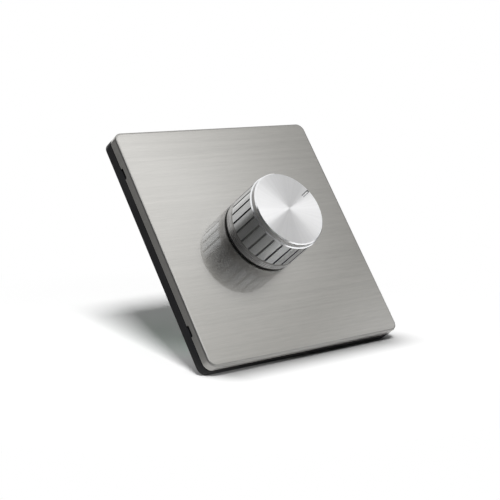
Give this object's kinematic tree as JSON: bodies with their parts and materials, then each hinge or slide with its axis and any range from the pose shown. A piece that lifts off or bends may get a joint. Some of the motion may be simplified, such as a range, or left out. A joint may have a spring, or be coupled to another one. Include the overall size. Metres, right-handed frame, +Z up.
{
  "type": "wall volume control",
  "caption": "Square brushed-steel wall plate with a fluted aluminium dial that turns a stepped rotary switch in front of a line transformer and screw terminals.",
  "frame": {"origin": "middle of the two wall screw slots, in the plane of the wall", "axes": "+Y into the wall along the dial's axis, +Z up the plate, +X to the right seen from the room"},
  "size_m": [0.086, 0.0651, 0.086],
  "materials": {
    "brushed_stainless": "long horizontal brush grain, satin",
    "black_moulding": "fine spark texture, satin black",
    "spun_aluminium": "bright turned, spun top",
    "cast_zinc": "as cast, dull grey",
    "plated_steel": "zinc or tin plated",
    "spring_steel": "polished",
    "natural_acetal": "natural, satin",
    "phenolic_sheet": "brown laminate",
    "contact_brass": "bright brass",
    "board_laminate": "green solder mask",
    "core_laminations": "stacked steel sheets, varnished",
    "winding_tape": "amber polyester tape over the windings",
    "terminal_plastic": "green polyamide"
  },
  "bodies": {
    "wall_unit": {"face_plate": "brushed_stainless", "panel_carrier": "black_moulding", "base_frame": "black_moulding", "switch_bushing": "cast_zinc", "lock_washer": "plated_steel", "switch_nut": "plated_steel", "index_ring": "natural_acetal", "detent_balls": "spring_steel", "detent_spring": "spring_steel", "stop_pin": "spring_steel", "stator_wafer": "phenolic_sheet", "stator_contacts": "contact_brass", "switch_pins": "contact_brass", "tie_rivets": "plated_steel", "circuit_board": "board_laminate", "board_screws": "plated_steel", "core_e": "core_laminations", "core_i": "core_laminations", "coil_bobbin": "black_moulding", "coil_winding": "winding_tape", "core_clip": "plated_steel", "transformer_pins": "plated_steel", "terminal_block": "terminal_plastic", "terminal_cages": "contact_brass", "terminal_screws": "plated_steel", "terminal_pins": "plated_steel"},
    "dial": {"knob_cap": "spun_aluminium", "knob_core": "black_moulding", "switch_shaft": "plated_steel", "shaft_clip": "spring_steel", "index_star": "natural_acetal", "wiper_rotor": "black_moulding", "wiper_contact": "contact_brass"}
  },
  "joints": [
    {"name": "dial_turn", "type": "hinge", "parent": "wall_unit", "child": "dial", "pos_m": [0, 0, 0], "axis": [0, 1, 0], "range_deg": [-210, 90]}
  ]
}
